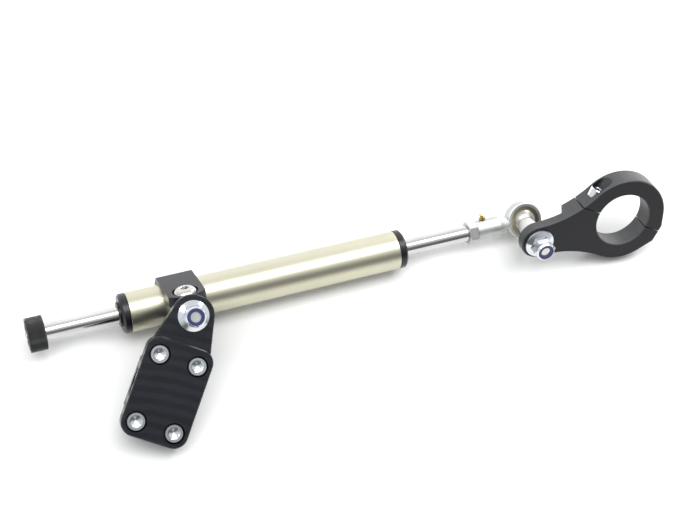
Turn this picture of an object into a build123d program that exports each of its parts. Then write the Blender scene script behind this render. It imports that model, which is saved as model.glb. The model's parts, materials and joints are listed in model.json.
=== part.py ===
from build123d import *
import math
import os

os.makedirs("parts", exist_ok=True)

# A steering damper for an all-terrain vehicle, lying on a table.
# Lengths are millimetres. X runs along the damper, -Y faces the viewer, Z is up.
# Each group is drawn about its own axis, then turned and moved into the rest pose.

# Fits between pieces
running_gap = 0.05
slip_gap = 0.03
seat_gap = 0.02

# Damper body
tube_d = 25.4
tube_wall = 2.4
tube_length = 180.0
tube_edge = 0.5
cap_head = 4.8
cap_plug = 14.0
cap_edge = 1.3
cap_boss_d = 16.0
cap_boss_height = 1.4
seal_pocket_d = 15.2
seal_length = 3.2
bush_length = 12.0
oring_section = 1.3
oring_from_seat = 7.0

# Piston rod and piston
rod_d = 10.7
rod_bore_d = 4.2
rod_edge = 0.5
rod_exposed = 45.5
stud_d = 9.5
stud_length = 18.5
piston_length = 14.0
piston_clearance = 0.3
piston_port_d = 2.4
piston_port_count = 6
ring_width = 5.0
ring_depth = 1.2
shim_thickness = 0.8
shim_margin = 1.7
circlip_width = 1.0
circlip_height = 1.6
bypass_port_d = 2.2

# Adjuster
knob_d = 20.8
knob_width = 11.1
knob_edge = 0.8
knob_grip_depth = 4.6
knob_dish_d = 13.6
knob_dish_depth = 0.9
knob_screw_d = 6.4
knob_screw_grip_d = 3.0
knob_screw_length = 6.0
knob_screw_slot = 1.2
adjuster_end_x = -46.0
drive_tongue = 4.0
drive_tongue_width = 1.6
needle_length = 31.8
needle_tip = 8.0
needle_travel_gap = 1.6

# Ball joints
joint_bolt_d = 7.94
race_inset = 0.3
mount_tilt = 18.0
mount_swivel = -3.0
stem_tilt = 21.0

# Rod end on the stem side
jam_nut_across = 14.3
jam_nut_width = 6.3
shank_d = 13.2
shank_length = 17.8
ball_from_shank = 17.5
stem_ball_d = 17.5
stem_ball_width = 12.7
stem_race_d = 20.2
stem_eye_d = 25.0
stem_eye_width = 8.0
eye_edge = 0.8
zerk_from_jam = 12.3
zerk_base_d = 4.6
zerk_base_height = 1.6
zerk_neck_d = 2.4
zerk_tip_d = 3.2
zerk_height = 4.2

# Clamp block on the tube
block_from_end = 33.8
block_length = 23.4
block_height = 30.4
block_back = 16.5
block_shoulder = 8.1
block_nose = 32.5
block_nose_corner = 27.3
pivot_reach = 22.95
slot_height = 16.4
counterbore_d = 16.1
counterbore_depth = 3.0
block_roll = 41.24

# Button head of the joint bolts
button_d = 15.0
button_height = 5.0
button_flat_d = 8.0
button_hex = 4.8
button_hex_depth = 2.4

# Rod end on the bracket side
mount_ball_d = 14.3
mount_ball_width = 9.5
mount_race_d = 16.4
mount_eye_d = 19.0
mount_eye_width = 6.6
mount_cone_small_d = 9.2
mount_cone_large_d = 13.0
collar_d = 10.4
collar_start = 13.2
ear_back_reach = 16.28

# Frame bracket
bracket_turn = 30.9
ear_r = 12.9
ear_thickness = 6.0
plate_step = 4.3
plate_width = 41.5
plate_top = 17.3
plate_bottom = 79.2
plate_corner = 8.5
plate_edge = 0.6
ear_edge = 0.5
rear_thickness = 4.5
rear_inset = 0.8
hole_spacing_x = 23.9
hole_top = 27.9
hole_spacing_z = 42.2
saddle_d = 28.6
saddle_depth = 6.6
pad_height = 31.0
pad_depth = 7.0

# Cap screws in the bracket
socket_head_d = 11.7
socket_head_height = 7.6
socket_counterbore_d = 12.8
socket_hex = 6.35
socket_hex_depth = 3.6
socket_edge = 0.6
recess_bevel = 0.1
drill_slope = 0.3

# Flanged lock nuts
nut_across = 12.7
nut_flange_d = 19.0
nut_flange = 1.6
nut_flange_edge = 0.6
nut_hex_top = 9.4
nut_collar_d = 12.4
nut_height = 11.0
nylon_d = 10.4
nylon_width = 1.7
nylon_lip_d = 6.4
bolt_short = 1.0
bolt_point = 0.5

# Stem clamp
stem_bore_d = 38.1
ring_wall = 11.15
stem_width = 14.8
stem_arm = 60.5
arm_end_r = 11.8
arm_flare_r = 70.0
arm_thickness = 6.6
arm_thin_reach = 22.6
arm_step_r = 3.0
split_angle = 147.5
split_gap = 0.8
lug_stand = 1.3
lug_cap_side = 4.0
lug_arm_side = 8.0
clamp_screw_inset = 4.6
clamp_screw_d = 6.0
clamp_head_d = 9.6
clamp_head_height = 6.0
clamp_head_pocket_d = 10.8
clamp_seat = 7.0
clamp_thread_depth = 15.0
clamp_hex = 4.8
clamp_hex_depth = 2.8
clamp_edge = 0.7
bore_edge = 0.6
stem_cone_small_d = 11.4
stem_cone_large_d = 15.4
stem_cone_length = 15.7
rear_spacer = 2.0
washer_d = 19.6
washer_thickness = 1.6
stem_elevation = 28.1
stem_yaw = -5.2
arm_pitch = 7.4

# How the whole damper leans when it stands on its block, its bracket and its ring
rest_roll = 2.12
rest_pitch = 0.596

# Worked-out sizes
tube_r = tube_d / 2
tube_inner_r = tube_r - tube_wall
rod_r = rod_d / 2
tube_half = tube_length / 2
block_x = block_from_end - tube_half
plug_r = tube_inner_r - slip_gap
cap_outer = tube_half + cap_head + cap_boss_height
rod_shoulder_x = cap_outer + rod_exposed
bolt_r = joint_bolt_d / 2
bolt_hole_r = bolt_r + slip_gap
front_thickness = ear_thickness + plate_step
jam_x = rod_shoulder_x + seat_gap
shank_x = jam_x + jam_nut_width + seat_gap
ball_x = shank_x + shank_length + ball_from_shank
socket_pocket_depth = socket_head_height + 0.3
ring_r = stem_bore_d / 2 + ring_wall
lug_reach = ring_r + lug_stand
clamp_screw_reach = ring_r - clamp_screw_inset


# General shapes

def turned(points):
    """A piece turned about the X axis from its half outline of (x, radius) points."""
    outline = make_face(Polyline(*points, close=True))
    return revolve(outline, Axis.X)


def bar(radius, start, end):
    """A round bar along X."""
    return Pos((start + end) / 2, 0, 0) * Rot(0, 90, 0) * Cylinder(radius, end - start)


def post(radius, start, end):
    """A round bar along Z."""
    return Pos(0, 0, (start + end) / 2) * Cylinder(radius, end - start)


def hexagon(across, start, end):
    """A six-sided bar along Z, measured across its flats."""
    face = RegularPolygon(across / 2, 6, major_radius=False)
    return Pos(0, 0, start) * extrude(face, end - start)


def chamfered_hexagon(across, start, end, top=True, bottom=True):
    """A hexagon with its corners turned off at the ends."""
    corner = across / math.sqrt(3)
    bevel = corner - across / 2
    drop = bevel * 0.6
    low = start + (drop if bottom else 0)
    high = end - (drop if top else 0)
    points = [(0, start), (across / 2 if bottom else corner, start), (corner, low), (corner, high)]
    points += [(across / 2 if top else corner, end), (0, end)]
    outline = [(x, z) for n, (x, z) in enumerate(points) if n == 0 or (x, z) != points[n - 1]]
    round_off = revolve(Plane.XZ * make_face(Polyline(*outline, close=True)), Axis.Z)
    return hexagon(across, start, end) & round_off


def spun(points):
    """A piece turned about the Z axis from its half outline of (radius, z) points."""
    return revolve(Plane.XZ * make_face(Polyline(*points, close=True)), Axis.Z)


# Fasteners, drawn along Z with the head up

def hex_recess(size, top, depth):
    """The cutter of a hexagon socket: bevelled at its mouth, with a drilled point below."""
    floor = top - depth
    drill_r = size / 2
    wide_r = size / math.sqrt(3) + recess_bevel
    point = spun([(0, floor - drill_r * drill_slope), (drill_r, floor), (0, floor)])
    mouth = spun([(0, top - wide_r), (wide_r, top), (wide_r, top + 1), (0, top + 1)])
    return hexagon(size, floor, top + 1) + point + mouth


def socket_screw(head_d, head_height, shank_d, length, hex_size, hex_depth):
    """A cap screw: its head stands on z = 0 and its shank hangs below."""
    r = head_d / 2
    shoulder = head_height - socket_edge
    head = spun([(0, 0), (r, 0), (r, shoulder), (r - socket_edge, head_height), (0, head_height)])
    shank = post(shank_d / 2, -length, 0)
    return head + shank - hex_recess(hex_size, head_height, hex_depth)


def button_screw(length):
    """A button head screw: the head's seat is z = 0, its dome is an arc."""
    rim = 0.7
    crown = Line((0, button_height), (button_flat_d / 2, button_height))
    middle = ((button_d + button_flat_d) / 4 + 0.75, button_height * 0.68)
    dome = ThreePointArc((button_flat_d / 2, button_height), middle, (button_d / 2, rim))
    side = Line((button_d / 2, rim), (button_d / 2, 0))
    base = Line((button_d / 2, 0), (0, 0))
    stem = Line((0, 0), (0, button_height))
    head = revolve(Plane.XZ * make_face([crown, dome, side, base, stem]), Axis.Z)
    point = spun([(0, -length), (bolt_r - bolt_point, -length), (bolt_r, bolt_point - length), (bolt_r, 0), (0, 0)])
    return head + point - hex_recess(button_hex, button_height, button_hex_depth)


def lock_nut():
    """A flanged lock nut standing on z = 0, with a pocket for its nylon ring."""
    flange_r = nut_flange_d / 2
    crest = nut_flange + 0.8
    flange = spun([(0, 0), (flange_r, 0), (flange_r, nut_flange_edge), (nut_across / 2, crest), (0, crest)])
    body = chamfered_hexagon(nut_across, nut_flange * 0.5, nut_hex_top, bottom=False)
    lip = nylon_d / 2
    collar_r = nut_collar_d / 2
    collar = spun([(0, 1), (collar_r, 1), (collar_r, nut_height - 0.9), (lip + 0.3, nut_height), (0, nut_height)])
    pocket = post(lip, nut_height - nylon_width - 0.2, nut_height + 1)
    hole = post(bolt_hole_r, -1, nut_height + 1)
    return flange + body + collar - pocket - hole


def nylon_ring():
    """The nylon ring that sits in a lock nut's pocket, with a lip over the bolt's end."""
    low = nut_height - nylon_width - 0.2 + seat_gap
    outer = nylon_d / 2 - slip_gap
    high = low + nylon_width
    step = nut_height - bolt_short + seat_gap
    lip_r = nylon_lip_d / 2
    outline = [(bolt_hole_r, low), (outer, low), (outer, high - 0.4), (outer - 0.4, high)]
    return spun(outline + [(lip_r, high), (lip_r, step), (bolt_hole_r, step)])


# Ball joint pieces, drawn about a bore along Z and centred on the ball

def ball(diameter, width):
    """A ball with flat sides and a bore."""
    flats = Cylinder(diameter / 2 + 1, width)
    return (Sphere(diameter / 2) & flats) - Cylinder(bolt_hole_r, width + 2)


def race(diameter, width, ball_d):
    """The bearing liner round the ball, a little narrower than its eye."""
    liner = Cylinder(diameter / 2 - slip_gap, width - 2 * race_inset)
    return liner - Sphere(ball_d / 2 + running_gap)


def eye_ring(outer_d, width, bore_d):
    """The round eye of a rod end, with its outer edges broken."""
    disc = Cylinder(outer_d / 2, width)
    disc = chamfer(disc.edges().filter_by(GeomType.CIRCLE), eye_edge)
    return disc - Cylinder(bore_d / 2, width + 2)


def cone(small_d, large_d, start, end):
    """A spacer that widens from the ball to the wall that it stands on."""
    return spun([(bolt_hole_r, start), (small_d / 2, start), (large_d / 2, end), (bolt_hole_r, end)])


# Damper body

def body_tube():
    """The round outer tube, with its edges broken."""
    a = tube_half
    e = tube_edge
    outer = [(-a, tube_r - e), (-a + e, tube_r), (a - e, tube_r), (a, tube_r - e)]
    return turned([(-a, tube_inner_r)] + outer + [(a, tube_inner_r)])


def end_cap():
    """The right end cap: a head, a boss round the rod and a plug in the tube."""
    face = tube_half + seat_gap
    head = tube_half + cap_head
    boss_r = cap_boss_d / 2
    bore_r = rod_r + 0.3
    pocket_end = face + seal_length + seat_gap * 2
    pocket_r = seal_pocket_d / 2
    groove_r = plug_r - oring_section
    groove_mid = tube_half - oring_from_seat
    groove_half = oring_section / 2 + 0.3
    outline = [(tube_half - cap_plug, pocket_r), (tube_half - cap_plug, plug_r - 0.4)]
    outline += [(tube_half - cap_plug + 0.4, plug_r), (groove_mid - groove_half, plug_r)]
    outline += [(groove_mid - groove_half, groove_r), (groove_mid + groove_half, groove_r)]
    outline += [(groove_mid + groove_half, plug_r), (face, plug_r), (face, tube_r)]
    outline += [(head - cap_edge, tube_r), (head, tube_r - cap_edge), (head, boss_r)]
    outline += [(cap_outer - 0.4, boss_r), (cap_outer, boss_r - 0.4), (cap_outer, bore_r)]
    outline += [(pocket_end, bore_r), (pocket_end, pocket_r)]
    return turned(outline)


def cap_oring():
    """The ring that seals the right cap's plug in the tube."""
    section = oring_section / 2 - slip_gap
    middle = tube_half - oring_from_seat
    centre_r = plug_r - oring_section / 2
    ring = revolve(Pos(middle, centre_r) * Circle(section), Axis.X)
    return ring


def cap_bush():
    """The bearing bush that guides the rod in the right cap."""
    end = tube_half
    start = end - bush_length
    outer = seal_pocket_d / 2 - slip_gap
    inner = rod_r + running_gap
    return turned([(start, inner + 0.4), (start, outer), (end, outer), (end, inner)])


def rod_seal():
    """The lip seal outside the bush in the right cap."""
    start = tube_half + seat_gap
    end = start + seal_length
    outer = seal_pocket_d / 2 - slip_gap
    inner = rod_r + running_gap
    lip = [(start, inner + 1.2), (start, outer), (end, outer), (end, inner), (end - 0.8, inner)]
    return turned(lip + [(end - 1.6, inner + 1.2)])


def mirrored(piece):
    """The same piece at the left end."""
    return mirror(piece, Plane.YZ)


# Clamp block, drawn about the tube with its nose towards -Y and its top towards +Z

def clamp_block():
    """The block that grips the tube and carries the pivot bolt in a slotted nose."""
    top = block_height / 2
    back = block_back
    chamfer_slope = math.tan(math.radians(block_roll - rest_roll))
    flat_top = top - (back - block_shoulder) * chamfer_slope
    side = [(-block_nose, -top), (block_shoulder, -top), (back, -flat_top)]
    side += [(back, flat_top), (block_shoulder, top), (-block_nose, top)]
    body = extrude(Plane.YZ * make_face(Polyline(*side, close=True)), block_length / 2, both=True)
    half = block_length / 2
    nose_arc = ThreePointArc((half, -block_nose_corner), (0, -block_nose), (-half, -block_nose_corner))
    walls = Polyline((-half, -block_nose_corner), (-half, back), (half, back), (half, -block_nose_corner))
    plan = extrude(make_face([nose_arc, walls]), top, both=True)
    slot = Pos(0, -block_nose, 0) * Box(block_length + 2, 2 * block_nose, slot_height)
    bore = bar(tube_r + slip_gap, -block_length, block_length)
    bolt_hole = Pos(0, -pivot_reach, 0) * Cylinder(bolt_hole_r, block_height + 2)
    head_pocket = Pos(0, -pivot_reach, 0) * post(counterbore_d / 2, top - counterbore_depth, top + 1)
    block = (body & plan) - slot - bore - bolt_hole - head_pocket
    return Pos(block_x, 0, 0) * block


def pivot_bolt():
    """The button head bolt through the block's nose and the ball."""
    seat = block_height / 2 - counterbore_depth + seat_gap
    reach = seat + block_height / 2 - 1.0
    return Pos(block_x, -pivot_reach, seat) * button_screw(reach)


def pivot_cones():
    """The two spacers that hold the ball in the middle of the slot."""
    start = mount_ball_width / 2 + seat_gap
    upper = cone(mount_cone_small_d, mount_cone_large_d, start, slot_height / 2 - seat_gap)
    pair = [upper, mirror(upper, Plane.XY)]
    return Pos(block_x, -pivot_reach, 0) * Compound(pair)


def pivot_ball():
    """The ball on the pivot bolt."""
    return Pos(block_x, -pivot_reach, 0) * ball(mount_ball_d, mount_ball_width)


def mount_pose(piece):
    """Rolls a piece of the block about the tube into the rest pose."""
    return Rot(-block_roll, 0, 0) * piece


def eye_place():
    """Where the bracket's rod end sits: at the ball, tilted out of the block's plane."""
    pivot = Rot(-block_roll, 0, 0) * Pos(block_x, -pivot_reach, 0)
    return pivot * Rot(0, 0, mount_swivel) * Rot(-mount_tilt, 0, 0)


# Rod end and bracket, drawn about the ball with the stud towards -Y

def mount_eye():
    """A male rod end: an eye, a neck, a collar for the ear and a threaded stud."""
    start = mount_race_d / 2 + 0.6
    tip = ear_back_reach + ear_thickness + nut_height + 2 * seat_gap - bolt_short
    collar_r = collar_d / 2
    outline = [(0, start), (bolt_r, start), (bolt_r, collar_start - 0.6), (collar_r, collar_start)]
    outline += [(collar_r, ear_back_reach), (bolt_r, ear_back_reach), (bolt_r, tip - bolt_point)]
    outline += [(bolt_r - bolt_point, tip), (0, tip)]
    stud = Rot(90, 0, 0) * spun(outline)
    return eye_ring(mount_eye_d, mount_eye_width, mount_race_d) + stud


def bracket_place():
    """The bracket's pivot on the stud, turned to its rest angle."""
    return eye_place() * Pos(0, -ear_back_reach - seat_gap, 0) * Rot(0, bracket_turn, 0)


def plate_outline(top, bottom, inset):
    """A rounded rectangle below the pivot, in the XZ plane."""
    width = plate_width - 2 * inset
    height = bottom - top - 2 * inset
    centre = -(top + bottom) / 2
    return Pos(0, centre) * RectangleRounded(width, height, plate_corner - inset)


def screw_spots():
    """The four screw places on the plates, below the pivot."""
    rows = (-hole_top, -hole_top - hole_spacing_z)
    return [(side * hole_spacing_x / 2, row) for row in rows for side in (-1, 1)]


def saddle_middle():
    return -hole_top - hole_spacing_z / 2


def saddle_cut(face_y, towards):
    """A round groove across a plate for the frame tube, cut into the face at face_y."""
    axis_y = face_y + towards * (saddle_depth - saddle_d / 2)
    return Pos(0, axis_y, saddle_middle()) * Rot(0, 90, 0) * Cylinder(saddle_d / 2, 2 * plate_width)


def bracket_front():
    """The front plate and its thinner ear, from their back face at y = 0 forwards."""
    front = front_thickness
    ear_side = plate_width / 2 - 2.0
    ear_low = plate_top + 6.0
    ear_face = make_hull([CenterArc((0, 0), ear_r, 0, 360).edge(),
                          Line((-ear_side, -ear_low), (ear_side, -ear_low)).edge()])
    ear = extrude(Plane.XZ * ear_face, ear_thickness)
    ear = chamfer(ear.edges().filter_by(lambda e: abs(e.center().Y + ear_thickness) < 0.01), ear_edge)
    plate = extrude(Plane.XZ * plate_outline(plate_top, plate_bottom, 0), front)
    plate = chamfer(plate.edges().filter_by(lambda e: abs(e.center().Y + front) < 0.01), plate_edge)
    body = ear + plate
    for x, z in screw_spots():
        body -= Pos(x, -front / 2, z) * Rot(90, 0, 0) * Cylinder(bolt_r + 0.3, front + 2)
        pocket = Cylinder(socket_counterbore_d / 2, 2 * socket_pocket_depth)
        body -= Pos(x, -front, z) * Rot(90, 0, 0) * pocket
    body -= Rot(90, 0, 0) * Cylinder(bolt_r + running_gap, 6 * ear_thickness)
    return body - saddle_cut(0, -1)


def bracket_rear():
    """The rear plate: thin under the screws, with a thick pad behind the frame tube."""
    face = seat_gap
    outline = Plane.XZ * plate_outline(plate_top, plate_bottom, rear_inset)
    plate = Pos(0, face, 0) * extrude(outline, -rear_thickness)
    width = plate_width - 2 * rear_inset
    depth = rear_thickness + pad_depth
    pad = Pos(0, face + depth / 2, saddle_middle()) * Box(width, depth, pad_height)
    pad_edges = pad.edges().filter_by(lambda e: e.center().Y > face + depth - 0.01)
    body = plate + chamfer(pad_edges, plate_edge)
    for x, z in screw_spots():
        body -= Pos(x, face, z) * Rot(90, 0, 0) * Cylinder(bolt_r + slip_gap, 60)
    return body - saddle_cut(face, 1)


def bracket_screws():
    """The four cap screws that draw the plates together."""
    seat = socket_pocket_depth - front_thickness
    length = front_thickness - socket_pocket_depth + rear_thickness - 0.5
    screw = socket_screw(socket_head_d, socket_head_height, joint_bolt_d, length, socket_hex, socket_hex_depth)
    screws = []
    for x, z in screw_spots():
        screws.append(Pos(x, seat - seat_gap, z) * Rot(90, 0, 0) * Rot(0, 0, 17 * (x + z)) * screw)
    return Compound(screws)


def on_ear(piece):
    """Stands a fastener on the ear's front face, along the stud."""
    front = ear_back_reach + ear_thickness + 2 * seat_gap
    return eye_place() * Pos(0, -front, 0) * Rot(90, 0, 0) * piece


# Rod, piston and adjuster

def piston_rod():
    """The rod that runs through the body, hollow from the adjuster to the piston."""
    left = -rod_shoulder_x - knob_grip_depth + 0.4
    right = rod_shoulder_x
    tip = right + stud_length
    neck_r = stud_d / 2
    outline = [(left, 0), (left, rod_r - rod_edge), (left + rod_edge, rod_r), (right - rod_edge, rod_r)]
    outline += [(right, rod_r - rod_edge), (right, neck_r), (tip - 0.8, neck_r), (tip, neck_r - 0.8), (tip, 0)]
    groove_x = piston_length / 2 + shim_thickness + 2 * seat_gap
    rod = turned(outline)
    bore_end = groove_x + 6.0
    rod -= bar(rod_bore_d / 2, left - 1, bore_end)
    for x in (groove_x + 3.5, -groove_x - 3.5):
        rod -= Pos(x, 0, 0) * Cylinder(bypass_port_d / 2, 2 * rod_d)
    return rod


def piston():
    """The piston, with a groove for its ring and a circle of oil ports."""
    half = piston_length / 2
    outer = tube_inner_r - piston_clearance
    floor_r = outer - ring_depth
    groove = ring_width / 2
    inner = rod_r + slip_gap
    outline = [(-half, inner), (-half, outer - 0.5), (0.5 - half, outer), (-groove, outer), (-groove, floor_r)]
    outline += [(groove, floor_r), (groove, outer), (half - 0.5, outer), (half, outer - 0.5), (half, inner)]
    body = turned(outline)
    port_circle = (floor_r + rod_r) / 2
    for n in range(piston_port_count):
        turn = Rot(360 / piston_port_count * n, 0, 0)
        body -= turn * Pos(0, port_circle, 0) * Rot(0, 90, 0) * Cylinder(piston_port_d / 2, piston_length + 2)
    return body


def piston_ring():
    """The wear ring that rides on the tube's bore."""
    floor_r = tube_inner_r - piston_clearance - ring_depth
    half = ring_width / 2 - running_gap
    inner = floor_r + running_gap
    outer = tube_inner_r - running_gap
    return turned([(-half, inner), (-half, outer), (half, outer), (half, inner)])


def piston_shims():
    """The spring discs that cover the piston's ports, one on each face."""
    start = piston_length / 2 + seat_gap
    outer = tube_inner_r - piston_clearance - shim_margin
    disc = turned([(start, rod_r + slip_gap), (start, outer), (start + shim_thickness, outer),
                   (start + shim_thickness, rod_r + slip_gap)])
    return Compound([disc, mirrored(disc)])


def piston_clips():
    """The clips that hold the piston and its discs on the rod."""
    start = piston_length / 2 + shim_thickness + 2 * seat_gap
    end = start + circlip_width
    inner = rod_r + slip_gap
    outer = inner + circlip_height
    clip = turned([(start, inner), (start, outer), (end, outer), (end, inner)])
    return Compound([clip, mirrored(clip)])


def adjuster_knob():
    """The round knob over the rod's left end, dished for its screw."""
    inner_x = -rod_shoulder_x
    outer_x = inner_x - knob_width
    r = knob_d / 2
    skirt_x = inner_x - knob_grip_depth
    skirt_r = rod_r + running_gap
    dish_x = outer_x + knob_dish_depth
    grip_r = knob_screw_grip_d / 2 + slip_gap
    shaft_r = rod_bore_d / 2 - running_gap + slip_gap
    shaft_x = skirt_x - 2.0
    outline = [(inner_x, skirt_r), (inner_x, r - knob_edge), (inner_x - knob_edge, r)]
    outline += [(outer_x + knob_edge, r), (outer_x, r - knob_edge), (outer_x, knob_dish_d / 2)]
    outline += [(dish_x, knob_dish_d / 2), (dish_x, grip_r), (shaft_x, grip_r), (shaft_x, shaft_r)]
    outline += [(skirt_x, shaft_r), (skirt_x, skirt_r)]
    return turned(outline)


def knob_screw():
    """The slotted screw that holds the knob on its shaft."""
    head_x = -rod_shoulder_x - knob_width + knob_dish_depth - seat_gap
    face_x = head_x - 1.6
    head_r = knob_screw_d / 2
    grip_r = knob_screw_grip_d / 2
    screw = turned([(head_x + knob_screw_length, 0), (head_x + knob_screw_length, grip_r), (head_x, grip_r),
                    (head_x, head_r), (face_x + 0.4, head_r), (face_x, head_r - 0.4), (face_x, 0)])
    return screw - Pos(face_x, 0, 0) * Box(1.4, knob_screw_slot, knob_screw_d + 1)


def adjuster_shaft():
    """The long shaft from the knob to the needle, with a flat tongue at its end."""
    start = -rod_shoulder_x - knob_grip_depth - 2.0 + seat_gap
    radius = rod_bore_d / 2 - running_gap
    shaft = bar(radius, start, adjuster_end_x)
    grip_end = -rod_shoulder_x - knob_width + knob_dish_depth + knob_screw_length + 0.2
    shaft -= bar(knob_screw_grip_d / 2 + slip_gap, start - 1, grip_end)
    tongue = Pos(adjuster_end_x, 0, 0) * Box(2 * drive_tongue, drive_tongue_width, 2 * radius - 0.6)
    return shaft + tongue


def metering_needle():
    """The needle that the shaft turns in and out, slotted for the tongue."""
    start = adjuster_end_x + needle_travel_gap
    end = start + needle_length
    radius = rod_bore_d / 2 - running_gap
    body = turned([(start, 0), (start, radius), (end, radius), (end + needle_tip, 0.5), (end + needle_tip, 0)])
    slot = Box(2 * (drive_tongue + needle_travel_gap), drive_tongue_width + 0.2, 2 * rod_bore_d)
    return body - Pos(start, 0, 0) * slot


# Rod end on the stem side, drawn along the rod with the eye's bore along -Y

def jam_nut():
    """The thin hexagon nut that locks the rod end."""
    nut = Rot(0, 90, 0) * chamfered_hexagon(jam_nut_across, jam_x, jam_x + jam_nut_width)
    return nut - bar(stud_d / 2 + slip_gap, jam_x - 1, shank_x + 1)


def stem_rod_end():
    """A female rod end: a round shank with a neck that widens into the eye."""
    r = shank_d / 2
    end = shank_x + shank_length
    neck_end = ball_x - stem_eye_d / 2 + 1.0
    half_eye = stem_eye_width / 2
    wall_x = ball_x - stem_race_d / 2
    shank = turned([(shank_x, 0), (shank_x, r - 0.5), (shank_x + 0.5, r), (end - 0.8, r), (end, r - 0.8),
                    (neck_end, half_eye + 0.3), (wall_x - 0.4, half_eye - 0.4), (wall_x - 0.4, 0)])
    eye = Pos(ball_x, 0, 0) * Rot(90, 0, 0) * eye_ring(stem_eye_d, stem_eye_width, stem_race_d)
    body = shank + eye
    body -= bar(stud_d / 2 + slip_gap, shank_x - 1, end)
    body -= Pos(jam_x + zerk_from_jam, 0, 0) * post(zerk_neck_d / 2, 0, shank_d)
    return body


def grease_nipple():
    """The nipple that stands on the shank, with its stem in the shank's hole."""
    floor = shank_d / 2
    neck = zerk_neck_d / 2 - slip_gap
    tip = zerk_tip_d / 2
    top = floor + zerk_height
    outline = [(0, floor - 1.6), (neck, floor - 1.6), (neck, floor + seat_gap), (zerk_base_d / 2, floor + seat_gap)]
    outline += [(zerk_base_d / 2, floor + zerk_base_height), (neck, floor + zerk_base_height + 0.4)]
    outline += [(neck, top - 1.5), (tip, top - 1.0), (tip * 0.7, top), (0, top)]
    return Pos(jam_x + zerk_from_jam, 0, 0) * spun(outline)


def rod_end_place():
    """Turns the rod end's eye about the damper's axis into the rest pose."""
    return Rot(-(stem_elevation + stem_tilt), 0, 0)


# Stem clamp, drawn about the pin with the ring towards +X and the pin along Z

def stem_place():
    """Stands the pin's axis at its rest angles, through the ball."""
    lean = Rot(0, 0, stem_yaw) * Rot(-stem_elevation, 0, 0)
    return Pos(ball_x, 0, 0) * lean * Rot(90, 0, 0) * Rot(0, 0, arm_pitch)


def lug_outline():
    """The ring's outer outline: a circle drawn out to a flat lug at the far end of the split."""
    circle = CenterArc((0, 0), ring_r, 0, 360).edge()
    far_flat = Line((-lug_reach, -lug_cap_side), (-lug_reach, lug_arm_side)).edge()
    return Pos(stem_arm, 0) * Rot(0, 0, split_angle) * make_hull([circle, far_flat])


def arm_outline():
    """The arm: a round end joined to the ring by two hollow curves that touch both circles."""
    near = arm_flare_r + arm_end_r
    far = arm_flare_r + ring_r
    middle_x = (stem_arm ** 2 + near ** 2 - far ** 2) / (2 * stem_arm)
    middle_y = math.sqrt(near ** 2 - middle_x ** 2)
    start = (middle_x * arm_end_r / near, middle_y * arm_end_r / near)
    end = (stem_arm + (middle_x - stem_arm) * ring_r / far, middle_y * ring_r / far)
    start_turn = math.atan2(start[1] - middle_y, start[0] - middle_x)
    end_turn = math.atan2(end[1] - middle_y, end[0] - middle_x)
    half_turn = (start_turn + end_turn) / 2
    low = (middle_x + arm_flare_r * math.cos(half_turn), middle_y + arm_flare_r * math.sin(half_turn))
    edges = [ThreePointArc(start, (-arm_end_r, 0), (start[0], -start[1]))]
    edges.append(ThreePointArc(start, low, end))
    edges.append(ThreePointArc((start[0], -start[1]), (low[0], -low[1]), (end[0], -end[1])))
    edges.append(Line(end, (end[0], -end[1])))
    return make_face(edges)


def arm_step():
    """The cutter behind the arm, which leaves it thinner than the ring."""
    depth = stem_width - arm_thickness
    width = 4 * ring_r
    cutter = Pos(arm_thin_reach - width / 2, 0, depth - width / 2) * Box(width, width, width)
    inner_edge = cutter.edges().filter_by(Axis.Y).sort_by(lambda e: e.center().X + e.center().Z)[-1]
    return fillet(inner_edge, arm_step_r)


def whole_clamp():
    """The clamp before it is split, with its bore, pin hole and broken edges."""
    outline = lug_outline() + arm_outline()
    body = extrude(outline, stem_width)
    rims = body.edges().filter_by(lambda e: min(abs(e.center().Z), abs(e.center().Z - stem_width)) < 0.01)
    body = chamfer(rims, clamp_edge) - arm_step()
    body -= Pos(stem_arm, 0, 0) * post(stem_bore_d / 2, -1, stem_width + 1)
    mouths = body.edges().filter_by(GeomType.CIRCLE).filter_by(lambda e: abs(e.radius - stem_bore_d / 2) < 0.01)
    body = chamfer(mouths, bore_edge)
    return body - post(bolt_hole_r, -1, stem_width + 1)


def split_side(sign):
    """The half space on one side of the split: +1 is the cap, -1 is the arm."""
    reach = 8 * ring_r
    block = Pos(0, -sign * (reach / 2 + split_gap / 2), 0) * Box(reach, reach, reach)
    return Pos(stem_arm, 0, 0) * Rot(0, 0, split_angle) * block


def clamp_screw_places():
    """The two screw axes, square to the split, with their heads on the cap's side."""
    frame = Pos(stem_arm, 0, stem_width / 2) * Rot(0, 0, split_angle)
    return [frame * Pos(side * clamp_screw_reach, 0, 0) * Rot(90, 0, 0) for side in (-1, 1)]


def stem_arm_half():
    """The arm with its half of the ring, tapped for the two screws."""
    body = whole_clamp() & split_side(-1)
    for place in clamp_screw_places():
        body -= place * post(clamp_screw_d / 2 + slip_gap, -clamp_thread_depth, 1)
    return body


def stem_cap_half():
    """The loose half of the ring, with pockets for the screw heads."""
    body = whole_clamp() & split_side(1)
    for place in clamp_screw_places():
        body -= place * post(clamp_screw_d / 2 + 0.3, -1, clamp_seat + 1)
        body -= place * post(clamp_head_pocket_d / 2, clamp_seat, clamp_seat + 2 * ring_r)
    return body


def clamp_screws():
    """The two cap screws that close the ring."""
    length = clamp_seat + clamp_thread_depth - 1.0
    screw = socket_screw(clamp_head_d, clamp_head_height, clamp_screw_d, length, clamp_hex, clamp_hex_depth)
    raised = Pos(0, 0, clamp_seat + seat_gap) * screw
    return Compound([place * raised for place in clamp_screw_places()])


def arm_front():
    """How far the arm's front face stands from the ball's centre."""
    return stem_ball_width / 2 + stem_cone_length + arm_thickness + 2 * seat_gap


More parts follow.
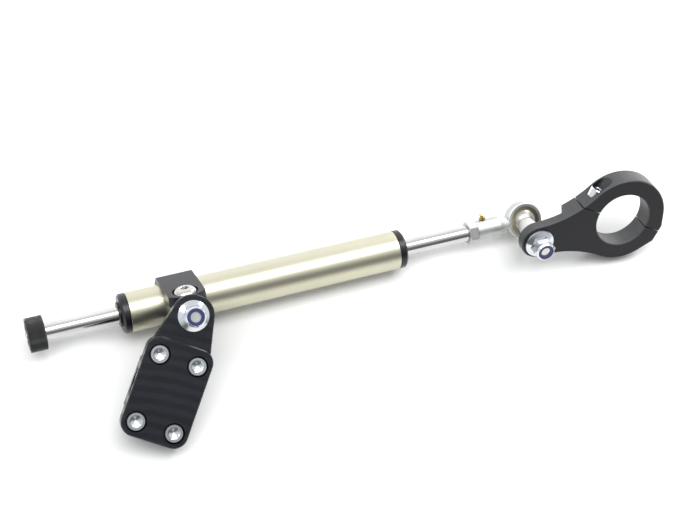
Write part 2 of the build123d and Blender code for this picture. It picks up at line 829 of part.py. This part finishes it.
def stem_cone():
    """The spacer between the ball and the arm."""
    start = stem_ball_width / 2 + seat_gap
    return cone(stem_cone_small_d, stem_cone_large_d, start, start + stem_cone_length)


def stem_rear_spacer():
    """The short spacer between the ball and the bolt's head."""
    start = stem_ball_width / 2 + seat_gap
    return mirror(cone(stem_cone_small_d - 0.8, stem_cone_small_d, start, start + rear_spacer), Plane.XY)


def stem_bolt():
    """The button head bolt through the ball, the spacer and the arm."""
    seat = stem_ball_width / 2 + rear_spacer + 2 * seat_gap
    length = seat + arm_front() + washer_thickness + nut_height + 2 * seat_gap - bolt_short
    return Pos(0, 0, -seat) * Rot(180, 0, 0) * button_screw(length)


def stem_washer():
    """The washer on the arm's front face."""
    disc = post(washer_d / 2, 0, washer_thickness) - post(bolt_hole_r, -1, washer_thickness + 1)
    return Pos(0, 0, arm_front() + seat_gap) * disc


def on_washer(piece):
    """Stands a nut on the arm's washer."""
    return Pos(0, 0, arm_front() + washer_thickness + 2 * seat_gap) * piece


# The whole damper

def build_parts():
    """Every piece under its node's name, in the damper's own frame at rest."""
    parts = {"body_tube": body_tube()}
    pairs = {"end_cap": end_cap, "cap_oring": cap_oring, "cap_bush": cap_bush, "rod_seal": rod_seal}
    for name, make in pairs.items():
        piece = make()
        parts[name + "_right"] = piece
        parts[name + "_left"] = mirrored(piece)
    parts["clamp_block"] = mount_pose(clamp_block())
    parts["pivot_bolt"] = mount_pose(pivot_bolt())
    parts["pivot_cones"] = mount_pose(pivot_cones())
    parts["pivot_ball"] = mount_pose(pivot_ball())
    parts["mount_rod_end"] = eye_place() * mount_eye()
    parts["mount_race"] = eye_place() * race(mount_race_d, mount_eye_width, mount_ball_d)
    parts["ear_nut"] = on_ear(lock_nut())
    parts["ear_nut_ring"] = on_ear(nylon_ring())
    parts["bracket_front"] = bracket_place() * bracket_front()
    parts["bracket_rear"] = bracket_place() * bracket_rear()
    parts["bracket_screws"] = bracket_place() * bracket_screws()
    parts["piston_rod"] = piston_rod()
    parts["piston"] = piston()
    parts["piston_ring"] = piston_ring()
    parts["piston_shims"] = piston_shims()
    parts["piston_clips"] = piston_clips()
    parts["adjuster_knob"] = adjuster_knob()
    parts["knob_screw"] = knob_screw()
    parts["adjuster_shaft"] = adjuster_shaft()
    parts["metering_needle"] = metering_needle()
    turn = rod_end_place()
    parts["jam_nut"] = turn * jam_nut()
    parts["stem_rod_end"] = turn * stem_rod_end()
    liner = race(stem_race_d, stem_eye_width, stem_ball_d)
    parts["stem_race"] = turn * Pos(ball_x, 0, 0) * Rot(90, 0, 0) * liner
    parts["grease_nipple"] = turn * grease_nipple()
    pin = stem_place()
    parts["stem_ball"] = pin * ball(stem_ball_d, stem_ball_width)
    parts["stem_cone"] = pin * stem_cone()
    parts["stem_rear_spacer"] = pin * stem_rear_spacer()
    parts["stem_bolt"] = pin * stem_bolt()
    parts["stem_washer"] = pin * stem_washer()
    parts["stem_nut"] = pin * on_washer(lock_nut())
    parts["stem_nut_ring"] = pin * on_washer(nylon_ring())
    ring = pin * Pos(0, 0, arm_front() - stem_width)
    parts["stem_arm"] = ring * stem_arm_half()
    parts["stem_cap"] = ring * stem_cap_half()
    parts["stem_cap_screws"] = ring * clamp_screws()
    return parts


def resting_place(parts):
    """Leans the damper onto its three supports and centres its box over the origin."""
    lean = Rot(rest_roll, 0, 0) * Rot(0, rest_pitch, 0)
    box = Compound([lean * piece for piece in parts.values()]).bounding_box()
    centre = box.center()
    return Pos(-centre.X, -centre.Y, -box.min.Z) * lean


def main():
    parts = build_parts()
    place = resting_place(parts)
    for name, piece in parts.items():
        export_step(place * piece, "parts/" + name + ".step")


if __name__ == "__main__":
    main()
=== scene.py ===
import json
import math

import bpy
from mathutils import Euler, Matrix, Vector


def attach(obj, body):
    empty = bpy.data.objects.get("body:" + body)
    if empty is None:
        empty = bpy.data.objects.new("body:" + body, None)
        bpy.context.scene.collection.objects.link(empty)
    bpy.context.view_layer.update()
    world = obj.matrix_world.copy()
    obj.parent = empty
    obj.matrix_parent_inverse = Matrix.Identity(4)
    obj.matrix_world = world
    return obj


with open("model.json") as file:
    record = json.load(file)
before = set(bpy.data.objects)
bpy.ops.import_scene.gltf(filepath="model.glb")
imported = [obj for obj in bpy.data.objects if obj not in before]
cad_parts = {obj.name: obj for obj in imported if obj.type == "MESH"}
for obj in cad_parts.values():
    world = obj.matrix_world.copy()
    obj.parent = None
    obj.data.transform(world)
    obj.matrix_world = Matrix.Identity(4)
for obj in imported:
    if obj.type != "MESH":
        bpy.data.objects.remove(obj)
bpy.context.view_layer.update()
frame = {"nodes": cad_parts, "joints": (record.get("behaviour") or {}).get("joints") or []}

# The steering damper's finishes and its knurl, on a pale floor under soft light.
# Lengths are in metres, unless a comment says millimetres.

MM = 0.001
nodes = frame["nodes"]
joints = {j["name"]: j for j in frame["joints"]}

# The knob, in millimetres. Its outer face is measured along the rod from rod_turn's point.
KNOB_R = 10.4
KNOB_WIDTH = 11.1
KNOB_FACE = -152.8

# The diamond knurl round the knob: counts, and sizes in millimetres
KNURL_TEETH = 42
KNURL_STEPS_PER_TOOTH = 6
KNURL_ROWS = 56
KNURL_PITCH = 1.5
KNURL_HEIGHT = 0.6
KNURL_SINK = 0.02
KNURL_FROM_FACE = 0.15
KNURL_LAP = 1.2

# Values of a shader's metallic input
METAL = 1.0
PART_METAL = 0.5
NOT_METAL = 0.0

# Where a texture's values mostly lie, and where a tint leaves its first colour and
# reaches its second
USUAL_VALUES = (0.25, 0.75)
TINT_STOPS = (0.3, 0.7)

# The finest relief, and the scale of the colour's patches
FINE_RELIEF = 0.00001
PATCHES = 60.0

# Black anodising: its colours, roughness and grain
ANODISE_DARK = (0.004, 0.004, 0.006)
ANODISE_LIGHT = (0.007, 0.007, 0.01)
ANODISE_ROUGH = (0.3, 0.4)
ANODISE_IOR = 1.42
ANODISE_GRAIN = 2500.0
ANODISE_STRENGTH = 0.12

# The bracket plates: milling arcs about a centre that lies some 0.2 m from the stud
ARC_RADIUS = 0.2
ARC_CENTRE_TO_STUD = Vector((0.46, 0.74, 0.5))
ARC_SCALE = 45.0
ARC_WAVER = 1.6
ARC_WAVER_DETAIL = 2.0
ARC_WAVER_SCALE = 1.2
ARC_HEIGHT = 0.5
PLATE_DARK = (0.004, 0.005, 0.008)
PLATE_LIGHT = (0.007, 0.008, 0.013)
PLATE_ROUGH = (0.26, 0.4)
PLATE_PATCHES = 90.0
PLATE_IOR = 1.45
PLATE_STRENGTH = 0.2

# The stem clamp's rim: milling lines per metre, across and along the clamp's axis
RIM_LINES_ACROSS = 2600
RIM_LINES_ALONG = 60
# The rim's colours are lighter than the black faces: a painted sheen of the overhead light,
# streaked by the real milling lines
RIM_SHEEN_DARK = (0.034, 0.034, 0.035)
RIM_SHEEN_LIGHT = (0.052, 0.052, 0.053)
RIM_ROUGH = (0.3, 0.37)

# How squarely a surface faces the clamp's axis where the rim ends and where the face starts
RIM_TO_FACE = (0.7, 0.95)

# Floor
FLOOR_HALF = 6.0
FLOOR_COLOUR = (0.78, 0.78, 0.77, 1)
FLOOR_ROUGH = 0.5

# Room: how bright it is from straight in front of the damper (0) to straight behind it (1)
ROOM_COLOUR = (0.96, 0.98, 1.0, 1)
ROOM_LEVELS = (
    (0.0, 1.0), (0.015, 0.6), (0.035, 0.18), (0.12, 0.2), (0.18, 0.58),
    (0.28, 0.9), (0.45, 1.05), (0.75, 0.88), (1.0, 1.5),
)

# Camera, fitted to the photograph, with its lens and sensor in millimetres
LENS = 71.234
SENSOR = 36.0
CAMERA_NEAREST = 0.01
CAMERA_PLACE = (-0.24574, -0.36677, 0.78725)
CAMERA_DEGREES = (30.6666, -7.1047, -19.2838)


# Axes

def joint_axis(name):
    """The point and direction of a joint at rest."""
    joint = joints[name]
    return Vector(joint["pos_m"]), Vector(joint["axis"]).normalized()


def axis_frame(origin, axis):
    """A placing matrix whose Z runs along an axis that isn't upright."""
    z = axis.normalized()
    up = Vector((0, 0, 1))
    x = (up - z * up.dot(z)).normalized()
    placing = Matrix((x, z.cross(x), z)).transposed().to_4x4()
    placing.translation = origin
    return placing


# Node helpers

def new_material(name):
    """An empty node material and its principled shader."""
    material = bpy.data.materials.new(name)
    material.use_nodes = True
    tree = material.node_tree
    tree.nodes.clear()
    output = tree.nodes.new("ShaderNodeOutputMaterial")
    shader = tree.nodes.new("ShaderNodeBsdfPrincipled")
    tree.links.new(shader.outputs["BSDF"], output.inputs["Surface"])
    return material, tree, shader


def coords(tree, scale=(1, 1, 1), shift=(0, 0, 0)):
    """Object coordinates, scaled and then shifted."""
    source = tree.nodes.new("ShaderNodeTexCoord")
    mapping = tree.nodes.new("ShaderNodeMapping")
    mapping.vector_type = "POINT"
    mapping.inputs["Location"].default_value = shift
    mapping.inputs["Scale"].default_value = scale
    tree.links.new(source.outputs["Object"], mapping.inputs["Vector"])
    return mapping.outputs["Vector"]


def noise(tree, vector, scale, detail=3.0, roughness=0.5):
    """A noise texture's value."""
    texture = tree.nodes.new("ShaderNodeTexNoise")
    texture.inputs["Scale"].default_value = scale
    texture.inputs["Detail"].default_value = detail
    texture.inputs["Roughness"].default_value = roughness
    tree.links.new(vector, texture.inputs["Vector"])
    return texture.outputs["Fac"]


def calculated(tree, operation, value, *constants):
    """A maths node that works on a value and constants."""
    node = tree.nodes.new("ShaderNodeMath")
    node.operation = operation
    tree.links.new(value, node.inputs[0])
    for i, constant in enumerate(constants, 1):
        node.inputs[i].default_value = constant
    return node


def ranged(tree, value, source, target=(0.0, 1.0)):
    """A value taken from one range to another."""
    node = tree.nodes.new("ShaderNodeMapRange")
    node.inputs["From Min"].default_value, node.inputs["From Max"].default_value = source
    node.inputs["To Min"].default_value, node.inputs["To Max"].default_value = target
    tree.links.new(value, node.inputs["Value"])
    return node.outputs["Result"]


def spread(tree, value, target):
    """A texture's usual values stretched over a range."""
    return ranged(tree, value, USUAL_VALUES, target)


def tinted(tree, value, first, second):
    """A colour between two, picked by a value."""
    ramp = tree.nodes.new("ShaderNodeValToRGB")
    for stop, position, colour in zip(ramp.color_ramp.elements, TINT_STOPS, (first, second)):
        stop.position = position
        stop.color = (*colour, 1)
    tree.links.new(value, ramp.inputs["Fac"])
    return ramp.outputs["Color"]


def blended(tree, kind, factor, first, second):
    """The first value where the factor is 0, and the second where it is 1."""
    node = tree.nodes.new("ShaderNodeMix")
    node.data_type = kind
    tree.links.new(factor, node.inputs["Factor"])
    tree.links.new(first, node.inputs["A"])
    tree.links.new(second, node.inputs["B"])
    return node.outputs["Result"]


def relief(tree, shader, value, depth, strength):
    """Small ups and downs in the surface."""
    bump = tree.nodes.new("ShaderNodeBump")
    bump.inputs["Strength"].default_value = strength
    bump.inputs["Distance"].default_value = depth
    tree.links.new(value, bump.inputs["Height"])
    tree.links.new(bump.outputs["Normal"], shader.inputs["Normal"])


# Finishes

def surface(name, first, second, metallic, rough, depth=FINE_RELIEF, grain=900.0,
            stretch=(1, 1, 1), strength=0.25, ior=1.5):
    """A finish with patches in its colour, and a fine grain in its gloss and its relief."""
    material, tree, shader = new_material(name)
    grains = noise(tree, coords(tree, stretch), grain, detail=4.0, roughness=0.6)
    patches = noise(tree, coords(tree), PATCHES, detail=2.0)
    shader.inputs["Metallic"].default_value = metallic
    shader.inputs["IOR"].default_value = ior
    tree.links.new(tinted(tree, patches, first, second), shader.inputs["Base Color"])
    tree.links.new(spread(tree, grains, rough), shader.inputs["Roughness"])
    relief(tree, shader, grains, depth, strength)
    return material


def black_with_milling_arcs(centre):
    """Black anodised plate with the wide arcs that a milling cutter leaves."""
    material, tree, shader = new_material("black_milled")
    shader.inputs["IOR"].default_value = PLATE_IOR
    wave = tree.nodes.new("ShaderNodeTexWave")
    wave.wave_type = "RINGS"
    wave.rings_direction = "SPHERICAL"
    wave.inputs["Scale"].default_value = ARC_SCALE
    wave.inputs["Distortion"].default_value = ARC_WAVER
    wave.inputs["Detail"].default_value = ARC_WAVER_DETAIL
    wave.inputs["Detail Scale"].default_value = ARC_WAVER_SCALE
    tree.links.new(coords(tree, shift=tuple(-centre)), wave.inputs["Vector"])
    arcs = wave.outputs["Fac"]
    patches = noise(tree, coords(tree), PLATE_PATCHES)
    grains = noise(tree, coords(tree), ANODISE_GRAIN)
    height = calculated(tree, "MULTIPLY_ADD", arcs, ARC_HEIGHT)
    tree.links.new(grains, height.inputs[2])
    colour = tinted(tree, patches, PLATE_DARK, PLATE_LIGHT)
    tree.links.new(colour, shader.inputs["Base Color"])
    tree.links.new(spread(tree, arcs, PLATE_ROUGH), shader.inputs["Roughness"])
    relief(tree, shader, height.outputs["Value"], FINE_RELIEF, PLATE_STRENGTH)
    return material


def black_with_milled_sheened_rim(point, axis):
    """Black anodised plate: smooth faces across the axis, and milling lines on its rim, which
    is coloured lighter as a painted sheen.
    """
    material, tree, shader = new_material("black_milled_rim_painted_sheen")
    shader.inputs["IOR"].default_value = ANODISE_IOR
    source = tree.nodes.new("ShaderNodeTexCoord")

    # 1 on the faces and 0 on the rim, whose lighter colour is a painted sheen
    facing = tree.nodes.new("ShaderNodeVectorMath")
    facing.operation = "DOT_PRODUCT"
    facing.inputs[1].default_value = axis
    tree.links.new(source.outputs["Normal"], facing.inputs[0])
    squareness = calculated(tree, "ABSOLUTE", facing.outputs["Value"])
    face = ranged(tree, squareness.outputs["Value"], RIM_TO_FACE)

    # Noise drawn out along the axis
    lines = tree.nodes.new("ShaderNodeMapping")
    lines.vector_type = "TEXTURE"
    lines.inputs["Location"].default_value = point
    lines.inputs["Rotation"].default_value = axis_frame(point, axis).to_euler()
    across, along = 1 / RIM_LINES_ACROSS, 1 / RIM_LINES_ALONG
    lines.inputs["Scale"].default_value = (across, across, along)
    tree.links.new(source.outputs["Object"], lines.inputs["Vector"])
    streaks = noise(tree, lines.outputs["Vector"], 1.0)
    grains = noise(tree, coords(tree), ANODISE_GRAIN, detail=4.0, roughness=0.6)

    # The rim's colour: real milling streaks, lightened as a painted sheen
    colour = blended(tree, "RGBA", face, tinted(tree, streaks, RIM_SHEEN_DARK, RIM_SHEEN_LIGHT),
                     tinted(tree, grains, ANODISE_DARK, ANODISE_LIGHT))
    gloss = blended(tree, "FLOAT", face, spread(tree, streaks, RIM_ROUGH),
                    spread(tree, grains, ANODISE_ROUGH))
    tree.links.new(colour, shader.inputs["Base Color"])
    tree.links.new(gloss, shader.inputs["Roughness"])
    relief(tree, shader, grains, FINE_RELIEF, ANODISE_STRENGTH)
    return material


def paint(material, *names):
    """Gives CAD nodes a finish."""
    for name in names:
        materials = nodes[name].data.materials
        materials.clear()
        materials.append(material)


champagne = surface("champagne_anodise", (0.6, 0.575, 0.45), (0.63, 0.605, 0.475), METAL,
                    (0.33, 0.345), depth=0.000001, grain=1.0, stretch=(1600, 40, 40),
                    strength=0.02)
black = surface("black_anodise", ANODISE_DARK, ANODISE_LIGHT, NOT_METAL, ANODISE_ROUGH,
                grain=ANODISE_GRAIN, strength=ANODISE_STRENGTH, ior=ANODISE_IOR)
black_turned = surface("black_anodise_turned", (0.005, 0.005, 0.007), (0.008, 0.008, 0.011),
                       NOT_METAL, (0.22, 0.34), grain=1.0, stretch=(3000, 80, 80),
                       strength=0.15)
black_knurled = surface("knurl_black", (0.004, 0.004, 0.005), (0.007, 0.007, 0.008),
                        NOT_METAL, (0.05, 0.1), grain=2000.0, ior=1.7)
chrome = surface("hard_chrome", (0.62, 0.605, 0.59), (0.7, 0.685, 0.67), METAL, (0.02, 0.05),
                 depth=0.000004, grain=1.0, stretch=(1500, 60, 60), strength=0.1)
zinc = surface("bright_zinc", (0.64, 0.67, 0.71), (0.76, 0.78, 0.81), METAL, (0.06, 0.13),
               depth=0.00003, grain=700.0, strength=0.2)
zinc_cast = surface("zinc_rod_end", (0.5, 0.51, 0.5), (0.6, 0.61, 0.59), METAL, (0.4, 0.54),
                    depth=0.00008, grain=420.0, strength=0.3)
steel = surface("turned_steel", (0.66, 0.66, 0.66), (0.76, 0.76, 0.76), METAL, (0.18, 0.3),
                grain=1500.0, strength=0.15)
# Ball steel darker than bare steel: painted shade of the rod-end eye round the ball
ball_steel_painted_shade = surface("ball_steel_painted_shade", (0.36, 0.35, 0.32), (0.44, 0.43, 0.4), METAL, (0.32, 0.44),
                     grain=1200.0, strength=0.15)
stainless = surface("stainless_head", (0.58, 0.57, 0.55), (0.68, 0.67, 0.65), METAL,
                    (0.12, 0.24), grain=1200.0, strength=0.15)
bronze = surface("bearing_bronze", (0.34, 0.3, 0.21), (0.46, 0.41, 0.3), METAL, (0.3, 0.45),
                 grain=1200.0)
brass = surface("nipple_brass", (0.55, 0.4, 0.17), (0.66, 0.5, 0.24), METAL, (0.2, 0.35),
                grain=1200.0)
nylon = surface("blue_nylon", (0.022, 0.026, 0.1), (0.035, 0.04, 0.14), NOT_METAL, (0.3, 0.45),
                grain=1200.0)
rubber = surface("seal_rubber", (0.012, 0.012, 0.012), (0.02, 0.02, 0.02), NOT_METAL,
                 (0.5, 0.7), grain=1800.0)
filled = surface("filled_plastic", (0.2, 0.22, 0.17), (0.26, 0.28, 0.22), NOT_METAL,
                 (0.4, 0.6), grain=1800.0)
satin_nickel = surface("satin_nickel", (0.6, 0.6, 0.58), (0.66, 0.66, 0.64), PART_METAL,
                       (0.4, 0.52), grain=1.0, stretch=(60, 60, 60), strength=0.1)
plain_alloy = surface("plain_alloy", (0.72, 0.72, 0.73), (0.8, 0.8, 0.81), METAL, (0.25, 0.4),
                      grain=1500.0)

stud_point, _ = joint_axis("bracket_turn")
black_arcs = black_with_milling_arcs(stud_point - ARC_CENTRE_TO_STUD * ARC_RADIUS)
black_sheened_rim = black_with_milled_sheened_rim(*joint_axis("stem_pivot"))

paint(champagne, "body_tube")
paint(black_turned, "end_cap_left", "end_cap_right", "adjuster_knob")
paint(black_arcs, "bracket_front", "bracket_rear")
paint(black, "clamp_block")
# The stem clamp's rim is coloured lighter as a painted sheen
paint(black_sheened_rim, "stem_arm", "stem_cap")
paint(chrome, "piston_rod")
paint(stainless, "pivot_bolt", "stem_bolt")
paint(zinc, "stem_washer", "stem_nut", "ear_nut", "bracket_screws", "stem_cap_screws")
paint(zinc_cast, "stem_rod_end", "mount_rod_end", "jam_nut")
# The balls' darker colour is painted shade of the eyes round them
paint(ball_steel_painted_shade, "pivot_ball", "stem_ball")
paint(satin_nickel, "pivot_cones", "stem_cone", "stem_rear_spacer")
paint(steel, "adjuster_shaft", "knob_screw", "piston_shims", "piston_clips")
paint(bronze, "stem_race", "mount_race", "cap_bush_left", "cap_bush_right")
paint(brass, "grease_nipple", "metering_needle")
paint(nylon, "stem_nut_ring", "ear_nut_ring")
paint(rubber, "cap_oring_left", "cap_oring_right", "rod_seal_left", "rod_seal_right")
paint(filled, "piston_ring")
paint(plain_alloy, "piston")


# Mesh pieces

def linked(name, data):
    """A new object in the scene."""
    obj = bpy.data.objects.new(name, data)
    bpy.context.scene.collection.objects.link(obj)
    return obj


def mesh_object(name, vertices, faces, material):
    """A flat-shaded mesh object with a finish."""
    mesh = bpy.data.meshes.new(name)
    mesh.from_pydata(vertices, [], faces)
    mesh.update()
    mesh.materials.append(material)
    return linked(name, mesh)


def tooth_wave(turns):
    """1 at whole turns and 0 halfway between them."""
    return abs(turns % 1.0 - 0.5) * 2


def knurl_band():
    """The diamond knurl round the knob, closed at both ends by rings that reach into it."""
    place = axis_frame(*joint_axis("rod_turn"))
    around = KNURL_STEPS_PER_TOOTH * KNURL_TEETH
    start = KNOB_FACE + KNURL_FROM_FACE
    length = KNOB_WIDTH - 2 * KNURL_FROM_FACE
    base_r = KNOB_R - KNURL_SINK
    lap_r = KNOB_R - KNURL_LAP

    # Each row has its place along the rod, its radius and its teeth's height
    rows = [(start, lap_r, 0), (start, base_r, 0)]
    for i in range(1, KNURL_ROWS):
        rows.append((start + length * i / KNURL_ROWS, base_r, KNURL_HEIGHT))
    rows += [(start + length, base_r, 0), (start + length, lap_r, 0)]

    vertices = []
    for x, row_r, tooth in rows:
        for k in range(around):
            angle = 2 * math.pi * k / around
            turns = KNURL_TEETH * k / around
            slant = x / KNURL_PITCH
            r = row_r + tooth * min(tooth_wave(turns + slant), tooth_wave(turns - slant))
            point = (r * math.cos(angle) * MM, r * math.sin(angle) * MM, x * MM)
            vertices.append(place @ Vector(point))
    faces = []
    for i in range(len(rows) - 1):
        row, next_row = i * around, (i + 1) * around
        for k in range(around):
            j = (k + 1) % around
            faces.append((row + k, row + j, next_row + j, next_row + k))
    return mesh_object("knob_knurl", vertices, faces, black_knurled)


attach(knurl_band(), "adjuster")


# Stage, light and camera

def floor():
    """A plain pale floor."""
    material, _, shader = new_material("pale_floor")
    shader.inputs["Base Color"].default_value = FLOOR_COLOUR
    shader.inputs["Roughness"].default_value = FLOOR_ROUGH
    s = FLOOR_HALF
    corners = [(-s, -s, 0), (s, -s, 0), (s, s, 0), (-s, s, 0)]
    mesh_object("floor", corners, [(0, 1, 2, 3)], material)


def area_light(name, place, size, power):
    """A soft rectangular light that faces the origin."""
    data = bpy.data.lights.new(name, "AREA")
    data.shape = "RECTANGLE"
    data.size, data.size_y = size
    data.energy = power
    obj = linked(name, data)
    obj.location = place
    obj.rotation_euler = (Vector() - Vector(place)).to_track_quat("-Z", "Y").to_euler()


def room_light():
    """A pale room whose brightness changes from in front of the damper to behind it."""
    world = bpy.data.worlds.new("studio")
    bpy.context.scene.world = world
    world.use_nodes = True
    tree = world.node_tree
    background = tree.nodes["Background"]
    background.inputs["Color"].default_value = ROOM_COLOUR
    source = tree.nodes.new("ShaderNodeTexCoord")
    parts = tree.nodes.new("ShaderNodeSeparateXYZ")
    tree.links.new(source.outputs["Generated"], parts.inputs["Vector"])
    depth = calculated(tree, "MULTIPLY_ADD", parts.outputs["Y"], 0.5, 0.5)
    ramp = tree.nodes.new("ShaderNodeValToRGB")
    bands = ramp.color_ramp.elements
    first, *middle, last = ROOM_LEVELS
    for band, (position, level) in ((bands[0], first), (bands[1], last)):
        band.position = position
        band.color = (level, level, level, 1)
    for position, level in middle:
        bands.new(position).color = (level, level, level, 1)
    tree.links.new(depth.outputs["Value"], ramp.inputs["Fac"])
    tree.links.new(ramp.outputs["Color"], background.inputs["Strength"])


floor()
area_light("overhead", place=(0.0, 0.0, 1.5), size=(3.0, 0.8), power=28)
area_light("back_window", place=(1.2, 1.15, 0.75), size=(0.45, 0.4), power=11)
room_light()

camera_data = bpy.data.cameras.new("camera")
camera_data.lens = LENS
camera_data.sensor_width = SENSOR
camera_data.clip_start = CAMERA_NEAREST
camera = linked("camera", camera_data)
camera.location = CAMERA_PLACE
camera.rotation_euler = Euler([math.radians(turn) for turn in CAMERA_DEGREES], "XYZ")
bpy.context.scene.camera = camera
bpy.context.scene.view_settings.view_transform = "Standard"
